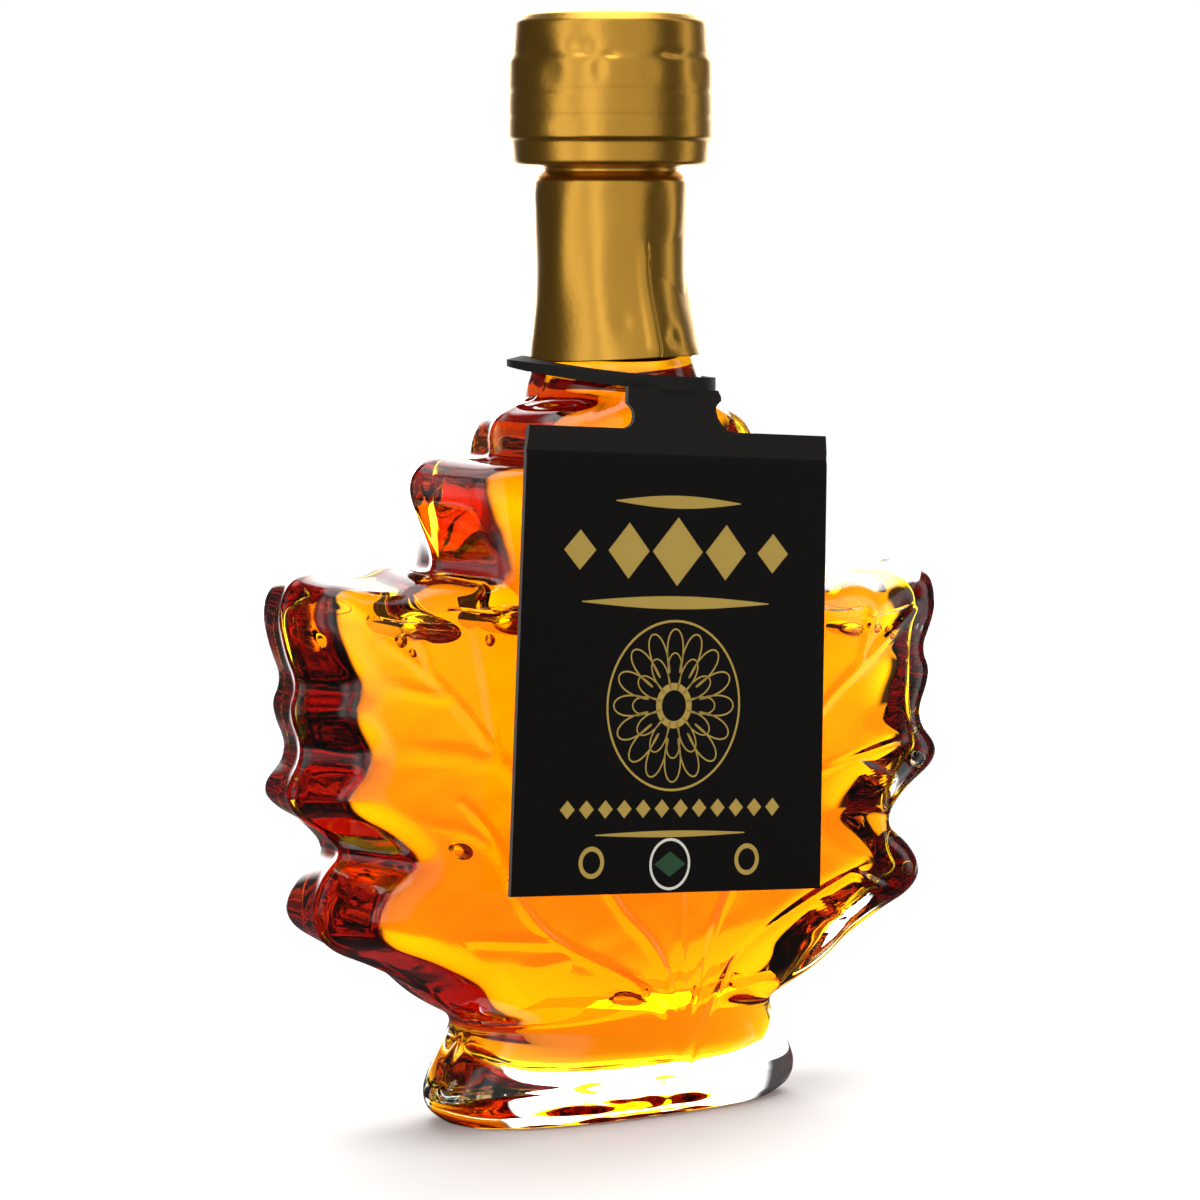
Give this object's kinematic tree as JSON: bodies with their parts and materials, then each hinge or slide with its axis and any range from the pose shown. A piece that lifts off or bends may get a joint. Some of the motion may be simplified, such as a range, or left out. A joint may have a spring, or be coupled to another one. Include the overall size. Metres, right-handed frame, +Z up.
{
  "type": "syrup bottle",
  "caption": "Clear leaf-shaped glass bottle of amber syrup on an oval foot, with a round neck, a gold capsule and a black card hang tag on the neck.",
  "frame": {"origin": "centre of the foot where it rests on the ground", "axes": "+Z up along the neck, -Y towards the front of the leaf that carries the tag, +X to the right seen from the front"},
  "size_m": [0.102, 0.0296, 0.1402],
  "materials": {
    "bottle_glass": "clear, fire-polished",
    "amber_syrup": "clear amber liquid",
    "gold_capsule": "satin metallic gold",
    "black_card": "matt black card"
  },
  "bodies": {
    "root": {"bottle": "bottle_glass", "syrup": "amber_syrup", "capsule": "gold_capsule", "tag": "black_card"}
  },
  "joints": []
}
